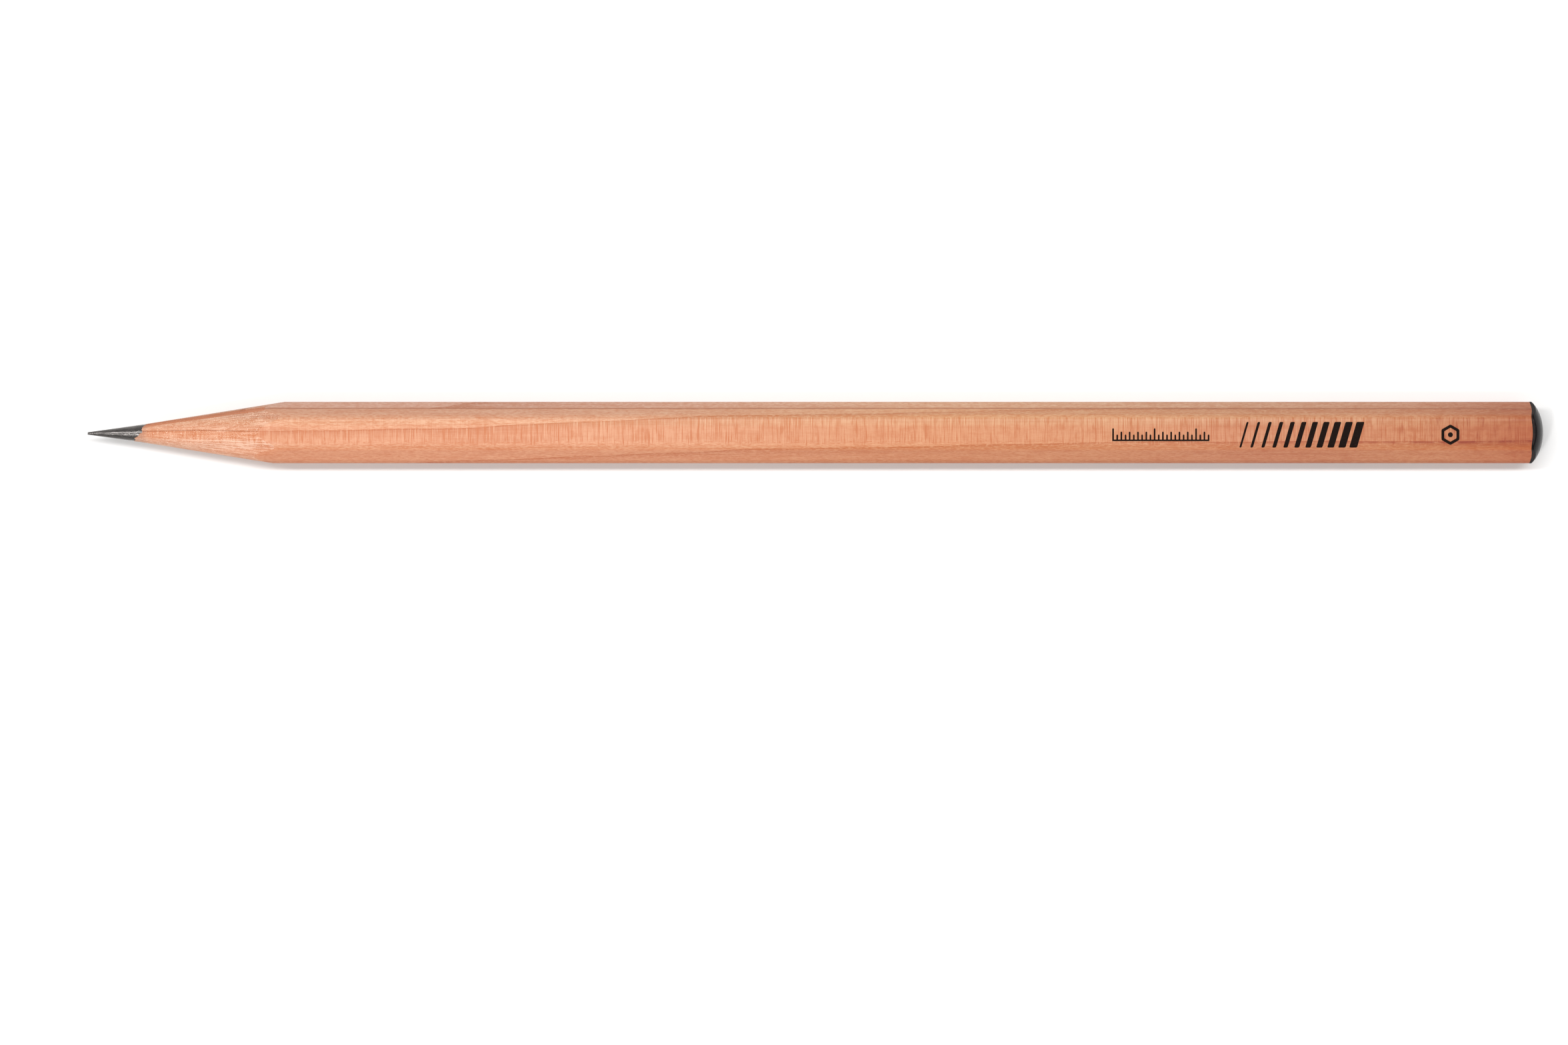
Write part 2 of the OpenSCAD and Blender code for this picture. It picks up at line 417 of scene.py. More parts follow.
def make_glue(material):
    """Two sheets from the core to the seams, and a tube round the core."""
    bm = bmesh.new()
    for seam in (GLUE_ANGLE, GLUE_ANGLE + math.pi):
        along = Vector((0, math.cos(seam), math.sin(seam)))
        across = Vector((0, -math.sin(seam), math.cos(seam)))
        first_x = wood_edge_x(seam) + 0.05
        edge_x = lacquer_edge_x(seam)
        last_x = dip_edge_x(seam)
        cone_shares = [k / GLUE_CONE_ROWS for k in range(GLUE_CONE_ROWS)]
        barrel_shares = [k / GLUE_BARREL_ROWS for k in range(GLUE_BARREL_ROWS + 1)]
        stations = [blend_between(first_x, edge_x, share) for share in cone_shares]
        stations += [blend_between(edge_x, last_x, share) for share in barrel_shares]
        corners = [[], [], [], []]
        for x in stations:
            outside = min(cone_radius(x, seam), barrel_radius(seam)) - GLUE_INSET
            inside = min(groove_r, outside - 0.01)
            centre = Vector((x, 0, axis_z))
            wave = 0.006 * wander(8.8, x * 0.7, seam)
            reaches = (outside, outside, inside, inside)
            for corner, reach, side in zip(corners, reaches, (1, -1, -1, 1)):
                corner.append((centre + along * (reach + wave) + across * side * JOINT_HALF) * MM)
        grid = skin(bm, corners, True, False)
        for end in (0, -1):
            bm.faces.new([column[end] for column in grid])
    tube = []
    for k in range(GLUE_TUBE_COLUMNS):
        a = 2 * math.pi * k / GLUE_TUBE_COLUMNS
        start_x = cone_reaches(groove_r, a) + 0.1
        xs = (start_x, start_x + 2, wood_end_x(groove_r))
        tube.append([at(x, groove_r, a) for x in xs] + [at(x, core_r, a) for x in xs[::-1]])
    skin(bm, tube, True, True)
    return finish_piece("glue_film", bm, [material])


# ---------------------------------------------------------------- printed marks
# The foil stands this far above the skin and reaches this far below it
FOIL_PROUD = 0.01
FOIL_SUNK = 0.02
# How many cuts, and how far apart, let it bend over a rounded corner
FOLD_CUTS = 8
FOLD_PITCH = 0.1
# The scales: line weight, distance between ticks, their corners and their two lower heights
SCALE_LINE = 0.2
SCALE_STEP = 0.5
SCALE_ROUNDING = 0.07
TICK_SHORT = 0.8
TICK_MIDDLE = 1.15
# The weight mark: number of strokes, width of the first and last, and how far they lean
STROKES = 11
STROKE_FIRST = 0.25
STROKE_LAST = 0.95
STROKE_SLANT = 0.9
STROKE_ROUNDING = 0.16
# The section mark: line weight, its outer and inner corners, and its dot
SECTION_LINE = 0.35
SECTION_ROUNDING = (0.16, 0.07)
SECTION_DOT_R = 0.3
SECTION_DOT_SIDES = 28


def rounded(points, radius, steps=4):
    """A polygon's points with each corner replaced by a short curve."""
    result = []
    for index, corner in enumerate(points):
        corner = Vector(corner)
        before = Vector(points[index - 1]) - corner
        after = Vector(points[(index + 1) % len(points)]) - corner
        first = corner + before.normalized() * min(radius, before.length / 2)
        last = corner + after.normalized() * min(radius, after.length / 2)
        result += [bezier(first, corner, last, k / steps) for k in range(steps + 1)]
    return result


def print_mark(name, outlines, side, material):
    """Foil on the top facet (side 1) or on the opposite one (side -1), following the skin."""
    bm = bmesh.new()
    for outline in outlines:
        bm.faces.new([bm.verts.new((p[0], p[1], 0)) for p in outline])
    bmesh.ops.remove_doubles(bm, verts=bm.verts, dist=MERGE_MM)
    for k in range(FOLD_CUTS):
        for sign in (-1, 1):
            cut = (0, sign * (flat_half + FOLD_PITCH * k), 0)
            geometry = bm.verts[:] + bm.edges[:] + bm.faces[:]
            bmesh.ops.bisect_plane(
                bm, geom=geometry, plane_co=cut, plane_no=(0, 1, 0), dist=MERGE_MM
            )
    raised = bmesh.ops.extrude_face_region(bm, geom=bm.faces[:])["geom"]
    tops = {v for v in raised if isinstance(v, bmesh.types.BMVert)}
    for v in bm.verts:
        x, y = v.co.x, v.co.y
        height = top_z(y) + (FOIL_PROUD if v in tops else -FOIL_SUNK)
        v.co = Vector((x, y * side, axis_z + height * side)) * MM
    return finish_piece(name, bm, [material])


def scale_outlines(low, high):
    """A base line with ticks every half millimetre, taller at each whole and fifth one."""
    steps = round((high.x - low.x - SCALE_LINE) / SCALE_STEP)
    base = low.y
    line_top = base + SCALE_LINE
    heights = [TICK_SHORT, TICK_MIDDLE, high.y - base]
    outlines = []
    for i in range(steps + 1):
        left = low.x + i * SCALE_STEP
        right = left + SCALE_LINE
        tall = base + heights[2 if i % 10 == 0 else 1 if i % 2 == 0 else 0]
        shoulder = tall - SCALE_ROUNDING
        outlines.append([(left, base), (right, base), (right, line_top), (left, line_top)])
        tick = [(left, line_top), (right, line_top)]
        tick += [(right, shoulder), (right - SCALE_ROUNDING, tall)]
        tick += [(left + SCALE_ROUNDING, tall), (left, shoulder)]
        outlines.append(tick)
        if i < steps:
            following = low.x + (i + 1) * SCALE_STEP
            link = [(right, base), (following, base), (following, line_top), (right, line_top)]
            outlines.append(link)
    return outlines


def weight_outlines(low, high):
    """Slanted strokes that grow from light to heavy."""
    pitch = (high.x - low.x - STROKE_SLANT - STROKE_LAST) / (STROKES - 1)
    outlines = []
    for i in range(STROKES):
        left = low.x + i * pitch
        right = left + STROKE_FIRST + (STROKE_LAST - STROKE_FIRST) * i / (STROKES - 1)
        corners = [(left, low.y), (right, low.y)]
        corners += [(right + STROKE_SLANT, high.y), (left + STROKE_SLANT, high.y)]
        outlines.append(rounded(corners, STROKE_ROUNDING))
    return outlines


def section_outlines(low, high):
    """The pencil's own section: a six-sided ring round a dot."""
    middle = (low + high) / 2

    def polygon(radius, sides):
        angles = [math.pi / 2 - 2 * math.pi * k / sides for k in range(sides)]
        return [(middle.x + radius * math.cos(a), middle.y + radius * math.sin(a)) for a in angles]

    outer_r = (high.y - low.y) / 2
    inner_r = outer_r - SECTION_LINE / math.cos(FLAT_HALF_ANGLE)
    outer = rounded(polygon(outer_r, 6), SECTION_ROUNDING[0])
    inner = rounded(polygon(inner_r, 6), SECTION_ROUNDING[1])
    ring = [[outer[k - 1], outer[k], inner[k], inner[k - 1]] for k in range(len(outer))]
    return ring + [polygon(SECTION_DOT_R, SECTION_DOT_SIDES)]


def marked_area(node, side):
    """The node's box as seen from outside its own facet, so that both facets are drawn alike."""
    low, high = box_mm(node)
    ys = sorted((low.y * side, high.y * side))
    return Vector((low.x, ys[0])), Vector((high.x, ys[1]))


# ---------------------------------------------------------------- material helpers
# Stretched by this much, an axis no longer counts
NO_CHANGE = 1e6
# Where a Mix node keeps its share and its colours
MIX_SHARE = 0
MIX_A = 6
MIX_B = 7
MIX_RESULT = 2


class Shader:
    """A material's node tree with short calls for the nodes used here."""

    def __init__(self, name):
        self.material = bpy.data.materials.new(name)
        self.material.use_nodes = True
        self.tree = self.material.node_tree
        self.bsdf = self.tree.nodes["Principled BSDF"]

    def put(self, socket, value):
        """Links another node's output to the socket, or sets the socket's own value."""
        if isinstance(value, bpy.types.NodeSocket):
            self.tree.links.new(value, socket)
        else:
            socket.default_value = value

    def node(self, kind, **settings):
        made = self.tree.nodes.new(kind)
        for key, value in settings.items():
            setattr(made, key, value)
        return made

    def math(self, operation, a, b=0.0):
        made = self.node("ShaderNodeMath", operation=operation)
        self.put(made.inputs[0], a)
        self.put(made.inputs[1], b)
        return made.outputs[0]

    def plus(self, a, b):
        return self.math("ADD", a, b)

    def minus(self, a, b):
        return self.math("SUBTRACT", a, b)

    def times(self, a, b):
        return self.math("MULTIPLY", a, b)

    def remap(self, value, low, high, to_low=0.0, to_high=1.0, smooth=True):
        """The value's place between low and high, clamped, as a number from to_low to to_high."""
        made = self.node("ShaderNodeMapRange", clamp=True)
        made.interpolation_type = "SMOOTHSTEP" if smooth else "LINEAR"
        for socket, v in zip(made.inputs, (value, low, high, to_low, to_high)):
            self.put(socket, v)
        return made.outputs[0]

    def stretch(self, vector, size):
        """Divides a position by a size for each axis, so one unit is that many millimetres."""
        made = self.node("ShaderNodeVectorMath", operation="DIVIDE")
        self.put(made.inputs[0], vector)
        made.inputs[1].default_value = size
        return made.outputs[0]

    def fan(self, vector, length, angle):
        """A position for streaks that run down the sharpened cone, towards its tip."""
        spokes = self.node("ShaderNodeVectorMath", operation="NORMALIZE")
        centred = self.shift(vector, (0, CONE_OFFSET, 0))
        self.put(spokes.inputs[0], self.stretch(centred, (NO_CHANGE, 1, 1)))
        made = self.node("ShaderNodeVectorMath", operation="ADD")
        self.put(made.inputs[0], self.stretch(spokes.outputs[0], (1, angle, angle)))
        self.put(made.inputs[1], self.stretch(vector, (length, NO_CHANGE, NO_CHANGE)))
        return made.outputs[0]

    def shift(self, vector, offset):
        made = self.node("ShaderNodeVectorMath", operation="ADD")
        self.put(made.inputs[0], vector)
        made.inputs[1].default_value = offset
        return made.outputs[0]

    def noise(self, vector, detail=2.0, roughness=0.5):
        made = self.node("ShaderNodeTexNoise")
        self.put(made.inputs["Vector"], vector)
        made.inputs["Scale"].default_value = 1.0
        made.inputs["Detail"].default_value = detail
        made.inputs["Roughness"].default_value = roughness
        return made.outputs["Fac"]

    def mix(self, share, a, b, blend="MIX"):
        made = self.node("ShaderNodeMix", data_type="RGBA", blend_type=blend)
        self.put(made.inputs[MIX_SHARE], share)
        self.put(made.inputs[MIX_A], (*a, 1) if isinstance(a, tuple) else a)
        self.put(made.inputs[MIX_B], (*b, 1) if isinstance(b, tuple) else b)
        return made.outputs[MIX_RESULT]

    def tinted(self, share, colour, tint):
        """The colour, multiplied by the tint as far as share says."""
        return self.mix(share, colour, self.mix(1.0, colour, tint, "MULTIPLY"))

    def ramp(self, value, stops):
        made = self.node("ShaderNodeValToRGB")
        elements = made.color_ramp.elements
        for element, (place, colour) in zip(elements, (stops[0], stops[-1])):
            element.position, element.color = place, (*colour, 1)
        for place, colour in stops[1:-1]:
            elements.new(place).color = (*colour, 1)
        self.put(made.inputs[0], value)
        return made.outputs[0]

    def bump(self, height, distance):
        """Relief in the surface, as deep as the distance in millimetres."""
        made = self.node("ShaderNodeBump")
        made.inputs["Strength"].default_value = 1.0
        made.inputs["Distance"].default_value = distance * MM
        self.put(made.inputs["Height"], height)
        return made.outputs["Normal"]

    def position(self):
        """The surface point's place, in millimetres from the middle of the pencil's axis."""
        made = self.node("ShaderNodeTexCoord")
        scaled = self.stretch(made.outputs["Object"], (MM, MM, MM))
        return self.shift(scaled, (0, 0, -axis_z))

    def split(self, vector):
        made = self.node("ShaderNodeSeparateXYZ")
        self.put(made.inputs[0], vector)
        return made.outputs

    def set(self, **values):
        """Sets or links the main shader's inputs, named with underscores for spaces."""
        for name, value in values.items():
            self.put(self.bsdf.inputs[name.replace("_", " ")], value)


# ---------------------------------------------------------------- cedar
WHITE = (1.0, 1.0, 1.0)
EARLY_WOOD = (0.56, 0.258, 0.146)
LATE_WOOD = (0.39, 0.115, 0.042)
PALE_WOOD = (0.62, 0.33, 0.20)
RAY_DARK = (0.46, 0.148, 0.058)
GLUE_STAIN = (0.20, 0.068, 0.032)
OLD_RING = (0.30, 0.045, 0.014)
TORN_FIBRE = (0.80, 0.52, 0.38)
BRIGHT_SPECK = (0.85, 0.60, 0.46)
GRAPHITE_SMEAR = (0.16, 0.13, 0.12)
# What parts of the wood are multiplied by: a board, or a side of the barrel or of the cone
LOWER_BOARD = (0.95, 1.0, 1.12)
LOWER_BOARD_BARE = (0.95, 0.98, 1.0)
# A painted sheen: the low side near the dipped end made lighter and greyer
LOW_SIDE_PAINTED_SHEEN = (1.22, 1.42, 1.55)
CONE_HIGH_SIDE = (0.90, 0.91, 0.95)
CONE_LOW_SIDE = (1.06, 1.25, 1.5)
# Where the main ring crosses the top facet: share of the length, share of the reach towards +Y
RING_DRIFT = (
    (0.0, 0.07),
    (0.15, 0.08),
    (0.35, 0.43),
    (0.45, 0.65),
    (0.58, 0.8),
    (0.73, 0.97),
    (1.0, 0.97),
)
RING_DRIFT_REACH = 3.0
RING_SPACING = 4.1
# How the lower board's rings are turned about X, in radians, and shifted
LOWER_RING_TURN = 0.35
LOWER_RING_SHIFT = 1.3
# Painted light and shade on the barrel's sides, multiplied into the wood's colour: not yet at this Y,
# fully at that Y, by what. Painted bounce light lifts the low facet, painted shade darkens its bottom
# corner, a whiter band from Y 0.5 is a painted highlight, painted shade darkens the upper slanted
# facet, and painted light lifts the strip beyond the +Y seam
PAINTED_SIDE_LIGHT = (
    (-1.7, -2.2, (1.11, 1.01, 0.94)),
    (-3.2, -3.6, (0.84, 0.80, 0.76)),
    (0.5, 1.2, (1.02, 1.15, 1.20)),
    (1.3, 1.9, (0.90, 0.89, 0.91)),
    (2.9, 3.2, (1.03, 1.07, 1.12)),
)
# How it is multiplied along its length, from the point at 0 to the crown at 1
REDDENING = (
    (0.0, (1.0, 1.0, 1.0)),
    (0.30, (1.0, 1.0, 1.0)),
    (0.40, (0.97, 0.97, 0.95)),
    (0.58, (0.90, 0.85, 0.74)),
    (0.70, (0.845, 0.79, 0.685)),
    (0.80, (0.78, 0.68, 0.61)),
    (0.91, (0.74, 0.63, 0.51)),
    (1.0, (0.55, 0.29, 0.16)),
)
# ... and on the side facing +Y, with painted light in it: a little darker along its length as painted
# shade, and paler and greyer towards the crown as a painted sheen
UPPER_REDDENING_AND_SHEEN = (
    (0.0, (0.92, 0.92, 0.94)),
    (0.30, (0.93, 0.92, 0.93)),
    (0.40, (0.96, 0.96, 0.945)),
    (0.58, (0.99, 0.99, 0.86)),
    (0.70, (0.95, 0.95, 0.83)),
    (0.80, (0.88, 0.86, 0.76)),
    (0.91, (0.82, 0.73, 0.63)),
    (1.0, (0.65, 0.41, 0.29)),
)


def cedar(name, bare, tint, ring_turn, ring_shift):
    """Cedar in millimetres about the barrel's axis: lacquered, or bare where it was cut."""
    s = Shader(name)
    place = s.position()
    x, y, z = s.split(place)
    along_barrel = s.remap(x, tip_x, crown_x, smooth=False)

    # Growth rings: nearly upright sheets that drift across the barrel along its length
    drift = s.node("ShaderNodeFloatCurve")
    curve = drift.mapping.curves[0]
    curve.points[0].location = RING_DRIFT[0]
    curve.points[1].location = RING_DRIFT[-1]
    for point in RING_DRIFT[1:-1]:
        curve.points.new(*point)
    drift.mapping.update()
    s.put(drift.inputs["Value"], along_barrel)
    drifted = s.times(drift.outputs[0], RING_DRIFT_REACH)
    turned = s.plus(s.times(y, math.cos(ring_turn)), s.times(z, math.sin(ring_turn)))
    wobble = s.times(s.minus(s.noise(s.stretch(place, (16, 3, 3)), 2), 0.5), 0.7)
    rings = s.plus(s.minus(turned, drifted), wobble)
    rings = s.math("DIVIDE", s.plus(rings, ring_shift), RING_SPACING)
    ring = s.math("FRACT", rings)
    late = s.math("POWER", s.remap(ring, 0.62, 1.0), 2.2)
    line = s.remap(ring, 0.96, 0.985)

    # Fibres along the grain, broad and fine, and blotches
    broad = s.noise(s.stretch(place, (26, 0.9, 0.9)), 3)
    fibre = s.noise(s.stretch(place, (7, 0.11, 0.11)), 3, 0.6)
    fine = s.noise(s.stretch(place, (1.1, 0.05, 0.05)), 2)
    grit = s.noise(s.stretch(place, (0.55, 0.10, 0.10)), 2, 0.6)
    mottle = s.noise(s.stretch(place, (1.7, 0.9, 0.9)), 5, 0.6)

    # Rays: short streaks across the grain, seen where the surface is level
    normal = s.split(s.node("ShaderNodeNewGeometry").outputs["Normal"])
    level = s.remap(s.math("ABSOLUTE", normal[2]), 0.80, 0.97)
    inside = s.remap(rings, -0.02, 0.01, 1.0, 0.25)
    ray = s.noise(s.stretch(place, (0.3 if bare else 0.15, 3.4, 0.5)), 2, 0.55)
    wide_ray = s.noise(s.stretch(s.shift(place, (40, 3, 7)), (0.6, 2.0, 1.2)), 2)
    gate = s.times(level, inside)
    if not bare:
        # ... and on the top facet ending unevenly before its -Y edge
        uneven = s.noise(s.stretch(place, (0.4, 9, 9)), 2, 0.6)
        ends = s.remap(s.plus(y, s.times(uneven, 2.2)), -0.5, 0.2)
        gate = s.times(gate, s.math("MAXIMUM", ends, s.remap(z, 0, -0.1)))
    dark_ray = s.times(s.remap(ray, 0.50, 0.68), gate)
    pale_ray = s.times(s.remap(ray, 0.48, 0.34), gate)
    wide = s.times(s.remap(wide_ray, 0.55, 0.75), gate)

    colour = s.mix(s.times(late, 0.55), EARLY_WOOD, LATE_WOOD)
    colour = s.mix(line, colour, LATE_WOOD)
    colour = s.mix(s.times(s.remap(broad, 0.45, 0.75), 0.35), colour, LATE_WOOD)
    between_rays = s.remap(gate, 0.2, 0.9, 1.0, 0.2)
    for grain, strength in ((fibre, 0.5), (grit, 0.6)):
        share = s.times(between_rays, strength)
        colour = s.mix(s.times(s.remap(grain, 0.5, 0.64), share), colour, RAY_DARK)
        colour = s.mix(s.times(s.remap(grain, 0.5, 0.36), share), colour, PALE_WOOD)
    colour = s.mix(s.times(dark_ray, 0.95), colour, RAY_DARK)
    colour = s.mix(s.times(pale_ray, 0.5), colour, PALE_WOOD)
    colour = s.mix(s.times(wide, 0.6), colour, RAY_DARK)

    # Towards the dipped end come blotches, a ragged dark ring line and darker rays
    aged = s.remap(x, 35, crown_x)
    patches = s.plus(s.times(aged, 0.25), 0.3)
    colour = s.mix(s.times(s.remap(mottle, 0.47, 0.68), patches), colour, RAY_DARK)
    ragged = s.plus(ring, s.times(s.minus(mottle, 0.5), 0.08))
    old_line = s.times(s.remap(ragged, 0.90, 0.99), s.remap(mottle, 0.35, 0.6))
    colour = s.mix(s.times(old_line, aged), colour, OLD_RING)
    old_ray = s.times(s.times(wide, s.remap(ray, 0.45, 0.55)), aged)
    colour = s.mix(s.times(old_ray, 0.4), colour, OLD_RING)

    # The barrel reddens and darkens towards the dipped end; on its +Y side this ramp also carries
    # painted shade and a painted sheen
    low_reddening = s.ramp(along_barrel, REDDENING)
    high_reddening_and_sheen = s.ramp(along_barrel, UPPER_REDDENING_AND_SHEEN)
    redder_and_sheen = s.mix(s.remap(y, 1.3, 1.9), low_reddening, high_reddening_and_sheen)
    colour = s.mix(1.0, colour, redder_and_sheen, "MULTIPLY")
    # ... and its sides get painted light and shade: lighter or darker facets, a painted highlight
    # band, painted shade at the bottom corner
    for start, stop, change in PAINTED_SIDE_LIGHT:
        colour = s.tinted(s.remap(y, start, stop), colour, change)
    # Painted sheen on the low side, towards the dipped end
    painted_sheen_low = s.times(s.remap(x, 60, crown_x), s.remap(y, -1.5, -2.1))
    colour = s.tinted(painted_sheen_low, colour, LOW_SIDE_PAINTED_SHEEN)
    colour = s.mix(1.0, colour, tint, "MULTIPLY")

    # A brown stain follows the glue seam
    height_share = s.times(z, math.cos(GLUE_ANGLE))
    across_share = s.times(y, math.sin(GLUE_ANGLE))
    off_seam = s.math("ABSOLUTE", s.minus(height_share, across_share))
    stain = s.remap(off_seam, 0.05, 0.16, 0.85, 0.0)
    colour = s.mix(stain, colour, GLUE_STAIN)

    if bare:
        colour = s.tinted(s.remap(y, 0.0, 0.6), colour, CONE_HIGH_SIDE)
        # Cut wood: torn fibres, bright specks, and a paler flank on the -Y side
        speck = s.noise(s.stretch(place, (0.14, 0.09, 0.09)), 2, 0.6)
        tuft = s.noise(s.fan(place, 3.2, 0.04), 2, 0.5)
        low_side = s.remap(y, -0.5, -1.1)
        colour = s.tinted(low_side, colour, CONE_LOW_SIDE)
        busy = s.plus(s.times(low_side, 0.32), 0.30)
        colour = s.mix(s.times(s.remap(tuft, 0.50, 0.62), busy), colour, TORN_FIBRE)
        colour = s.mix(s.times(s.remap(tuft, 0.48, 0.38), busy), colour, RAY_DARK)
        colour = s.mix(s.times(s.remap(speck, 0.58, 0.68), 0.7), colour, BRIGHT_SPECK)
        # ... with the ring's line, a darker strip by the seam, and graphite dust at the edge
        colour = s.mix(s.times(line, 0.42), colour, GLUE_STAIN)
        strip = s.times(s.remap(off_seam, 0.5, 0.35), s.remap(y, 0.4, 0.9))
        colour = s.mix(s.times(strip, 0.75), colour, LATE_WOOD)
        near_graphite = s.remap(x, wood_start_x + 1.3, wood_start_x - 0.3)
        smear = s.times(near_graphite, s.remap(tuft, 0.7, 0.35))
        colour = s.mix(s.times(smear, 0.5), colour, GRAPHITE_SMEAR)
        height = s.plus(s.times(tuft, 0.7), s.times(speck, 0.6))
        s.set(Roughness=s.remap(speck, 0.3, 0.7, 0.82, 0.62), Normal=s.bump(height, 0.05))
    else:
        height = s.plus(s.times(fibre, 0.6), s.times(fine, 0.25))
        s.set(Roughness=s.remap(fine, 0.3, 0.7, 0.58, 0.74), Normal=s.bump(height, 0.008))
        s.set(Coat_Weight=0.22, Coat_Roughness=0.3)
    s.set(Base_Color=colour, Specular_IOR_Level=0.25)
    return s.material


# ---------------------------------------------------------------- other finishes
GRAPHITE_DARK = (0.062, 0.057, 0.054)
GRAPHITE_PALE = (0.135, 0.124, 0.118)
GRAPHITE_PIT = (0.03, 0.029, 0.029)
GLUE_DARK = (0.30, 0.11, 0.055)
GLUE_PALE = (0.44, 0.19, 0.10)
COAT_THICK = (0.004, 0.003, 0.003)
COAT_THIN = (0.018, 0.008, 0.006)
LACQUER = (0.004, 0.003, 0.0035)
LACQUER_DUST = (0.014, 0.012, 0.013)
FOIL_DARK = (0.005, 0.0025, 0.0018)
FOIL_PALE = (0.011, 0.006, 0.0045)
FOIL_WORN = (0.10, 0.045, 0.03)
FLOOR_DARK = (0.79, 0.785, 0.78)
FLOOR_PALE = (0.805, 0.80, 0.795)


def graphite_finish():
    """Fired graphite, burnished in streaks by the sharpener."""
    s = Shader("graphite")
    place = s.position()
    streak = s.noise(s.stretch(place, (1.4, 0.06, 0.06)), 3, 0.6)
    grain = s.noise(s.stretch(place, (0.09, 0.07, 0.07)), 3, 0.6)
    colour = s.mix(s.remap(streak, 0.35, 0.7), GRAPHITE_DARK, GRAPHITE_PALE)
    colour = s.mix(s.times(s.remap(grain, 0.55, 0.75), 0.5), colour, GRAPHITE_PIT)
    height = s.plus(s.times(streak, 0.8), s.times(grain, 0.5))
    s.set(Base_Color=colour, Metallic=0.7, Roughness=s.remap(grain, 0.3, 0.7, 0.12, 0.22))
    s.set(Normal=s.bump(height, 0.012))
    return s.material


def glue_finish():
    s = Shader("wood_glue")
    patch = s.noise(s.stretch(s.position(), (1.5, 0.4, 0.4)), 3)
    s.set(Base_Color=s.mix(s.remap(patch, 0.35, 0.7), GLUE_DARK, GLUE_PALE))
    s.set(Roughness=s.remap(patch, 0.3, 0.7, 0.45, 0.6))
    return s.material


def first_coat_finish():
    """The edge of the dip, brown where the lacquer is thin."""
    s = Shader("first_coat")
    thin = s.noise(s.stretch(s.position(), (0.2, 0.5, 0.5)), 3)
    s.set(Base_Color=s.mix(s.remap(thin, 0.35, 0.7), COAT_THICK, COAT_THIN))
    s.set(Roughness=s.remap(thin, 0.3, 0.7, 0.35, 0.5), Normal=s.bump(thin, 0.01))
    s.set(Specular_IOR_Level=0.1)
    return s.material


def black_lacquer_finish():
    """Glossy lacquer with a slow flow and specks of dust."""
    s = Shader("black_lacquer")
    place = s.position()
    flow = s.noise(s.stretch(place, (1.6, 1.6, 1.6)), 2)
    dust = s.noise(s.stretch(place, (0.12, 0.12, 0.12)), 2)
    s.set(Base_Color=s.mix(s.remap(dust, 0.62, 0.78), LACQUER, LACQUER_DUST))
    s.set(Roughness=s.remap(dust, 0.4, 0.8, 0.2, 0.34), Normal=s.bump(flow, 0.02))
    s.set(Specular_IOR_Level=0.05, Coat_Weight=0.09, Coat_Roughness=0.06)
    return s.material


def foil_finish():
    """Near-black foil, a little thin along the grain."""
    s = Shader("foil")
    worn = s.noise(s.stretch(s.position(), (0.5, 0.07, 0.07)), 3, 0.65)
    colour = s.mix(s.remap(worn, 0.3, 0.62), FOIL_DARK, FOIL_PALE)
    colour = s.mix(s.remap(worn, 0.68, 0.76), colour, FOIL_WORN)
    s.set(Base_Color=colour, Roughness=s.remap(worn, 0.3, 0.7, 0.5, 0.7), Normal=s.bump(worn, 0.006))
    s.set(Specular_IOR_Level=0.03)
    return s.material


def floor_finish():
    s = Shader("floor")
    coordinates = s.node("ShaderNodeTexCoord").outputs["Object"]
    tone = s.noise(s.stretch(coordinates, (0.4, 0.4, 0.4)), 2)
    s.set(Base_Color=s.mix(tone, FLOOR_DARK, FLOOR_PALE))
    s.set(Roughness=0.9, Specular_IOR_Level=0.1)
    return s.material


# ---------------------------------------------------------------- the pieces
lower_rings = (LOWER_RING_TURN, LOWER_RING_SHIFT)
upper = cedar("cedar_upper", False, WHITE, 0.0, 0.0)
upper_bare = cedar("cedar_upper_bare", True, WHITE, 0.0, 0.0)
lower = cedar("cedar_lower", False, LOWER_BOARD, *lower_rings)
lower_bare = cedar("cedar_lower_bare", True, LOWER_BOARD_BARE, *lower_rings)

make_slat("slat_upper", 30, upper, upper_bare)
make_slat("slat_lower", 210, lower, lower_bare)
make_glue(glue_finish())

round_angles = [math.radians(a) for a in angles_between(30, 390)[:-1]]
even_angles = [2 * math.pi * k / CORE_COLUMNS for k in range(CORE_COLUMNS)]
revolve("graphite_core", core_profile, even_angles, graphite_finish())
revolve("end_dip_base", base_profile, round_angles, first_coat_finish())
revolve("end_dip_cap", cap_profile, round_angles, black_lacquer_finish())

foil = foil_finish()
for mark, draw, facet in (
    ("front_scale_mark", scale_outlines, 1),
    ("front_weight_mark", weight_outlines, 1),
    ("front_section_mark", section_outlines, 1),
    ("back_scale_mark", scale_outlines, -1),
    ("back_section_mark", section_outlines, -1),
):
    print_mark(mark, draw(*marked_area(mark, facet)), facet, foil)


# ---------------------------------------------------------------- floor, lights and camera
# Lengths here are in metres, but for the camera's sensor
FLOOR_HALF = 1.6
FLOOR_CELLS = 8
FLOOR_DROP = 0.02 * MM
SKY_COLOUR = (1.0, 0.995, 0.99, 1)
SKY_STRENGTH = 0.61
LAMP_DISTANCE = 1.6
CAMERA_DISTANCE = 1.0
CAMERA_CENTRE = (-0.00376, -0.01088)
VIEW_WIDTH = 0.1896
SENSOR_MM = 36


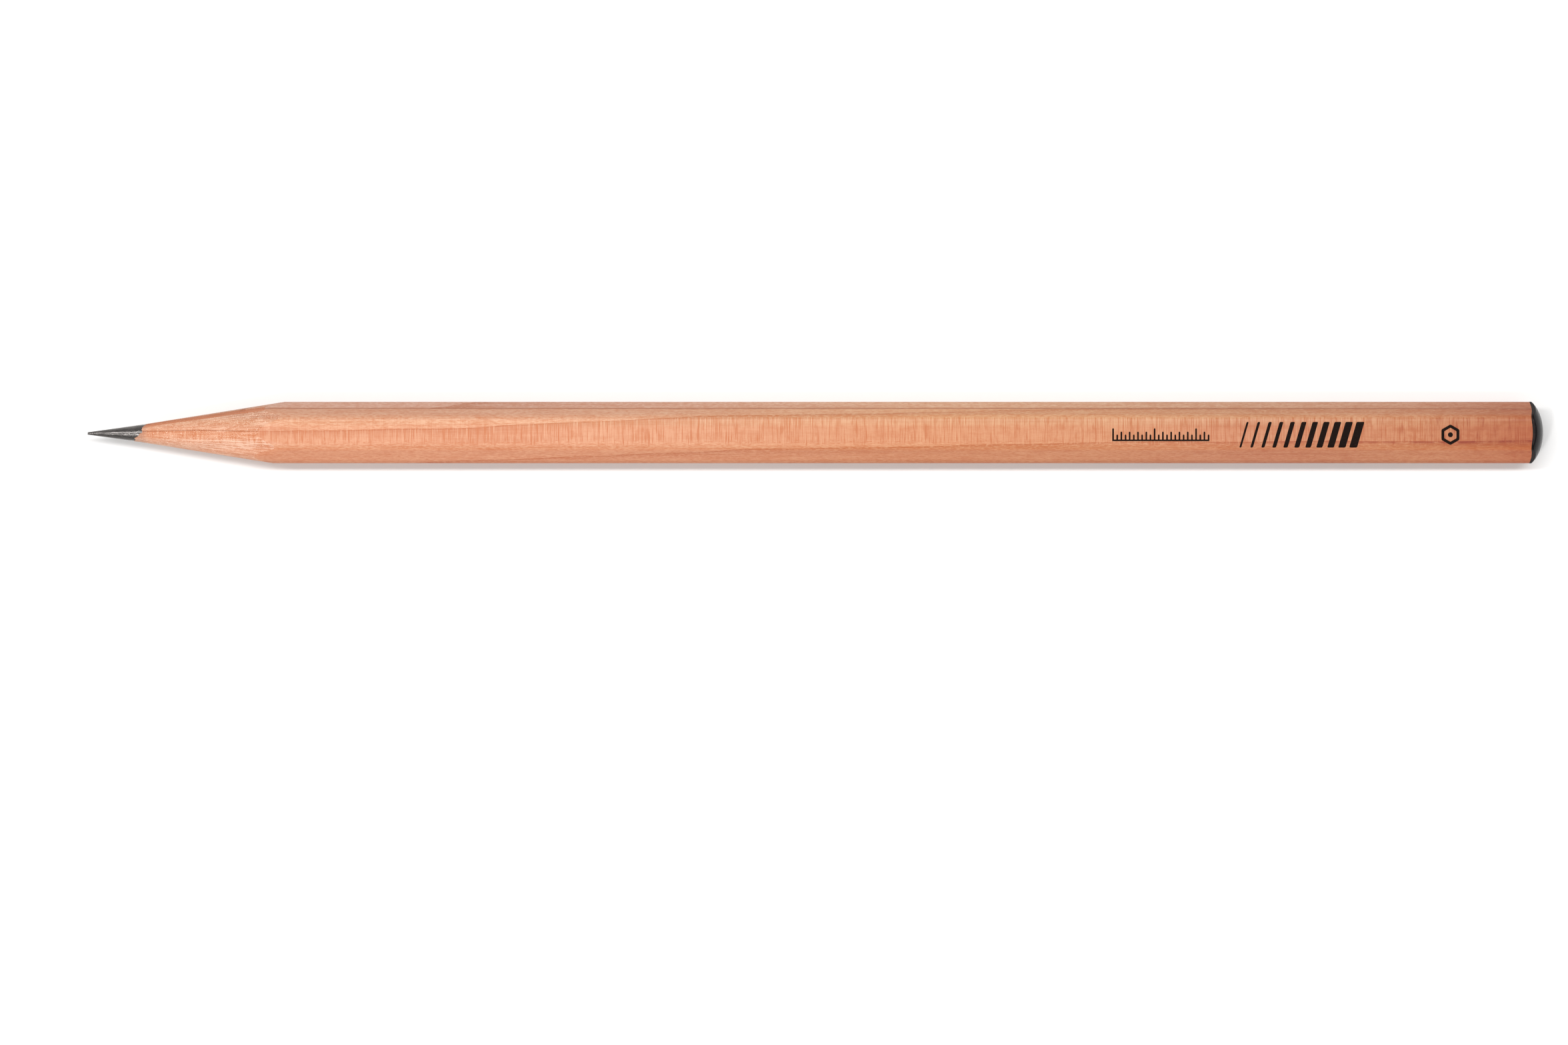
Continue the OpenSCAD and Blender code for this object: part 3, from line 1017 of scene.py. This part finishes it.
def make_floor(half_size):
    bm = bmesh.new()
    bmesh.ops.create_grid(bm, x_segments=FLOOR_CELLS, y_segments=FLOOR_CELLS, size=half_size)
    mesh = bpy.data.meshes.new("floor")
    bm.to_mesh(mesh)
    bm.free()
    mesh.materials.append(floor_finish())
    floor = bpy.data.objects.new("floor", mesh)
    floor.location.z = cad_low.z - FLOOR_DROP
    bpy.context.collection.objects.link(floor)


def make_softbox(name, towards, length, width, power):
    """A light in the given direction from the pencil's middle, facing it, its length along X."""
    data = bpy.data.lights.new(name, "AREA")
    data.shape = "RECTANGLE"
    data.size = length
    data.size_y = width
    data.energy = power
    lamp = bpy.data.objects.new(name, data)
    direction = Vector(towards).normalized()
    lamp.location = direction * LAMP_DISTANCE
    along = (Vector((1, 0, 0)) - direction * direction.x).normalized()
    facing = Matrix((along, direction.cross(along), direction)).transposed()
    lamp.rotation_euler = facing.to_euler()
    bpy.context.collection.objects.link(lamp)


def make_world(strength):
    world = bpy.data.worlds.new("studio")
    world.use_nodes = True
    background = world.node_tree.nodes["Background"]
    background.inputs["Color"].default_value = SKY_COLOUR
    background.inputs["Strength"].default_value = strength
    bpy.context.scene.world = world


def make_camera(centre, width, distance):
    """Looks straight down with a long lens; width is what it spans at the pencil's axis."""
    data = bpy.data.cameras.new("camera")
    data.sensor_width = SENSOR_MM
    data.lens = data.sensor_width * distance / width
    data.clip_end = 20
    camera = bpy.data.objects.new("camera", data)
    camera.location = (*centre, axis_z * MM + distance)
    bpy.context.collection.objects.link(camera)
    bpy.context.scene.camera = camera


make_floor(FLOOR_HALF)
make_world(SKY_STRENGTH)
# The strip gives the barrel its narrow crisp shadow, the small lamp the graphite its bright line
make_softbox("key", towards=(-0.12, 0.23, 1.0), length=2.6, width=0.2, power=28.5)
make_softbox("glint", towards=(-0.27, -0.36, 0.89), length=0.15, width=0.15, power=5.5)
make_camera(CAMERA_CENTRE, VIEW_WIDTH, CAMERA_DISTANCE)
bpy.context.scene.view_settings.view_transform = "Standard"
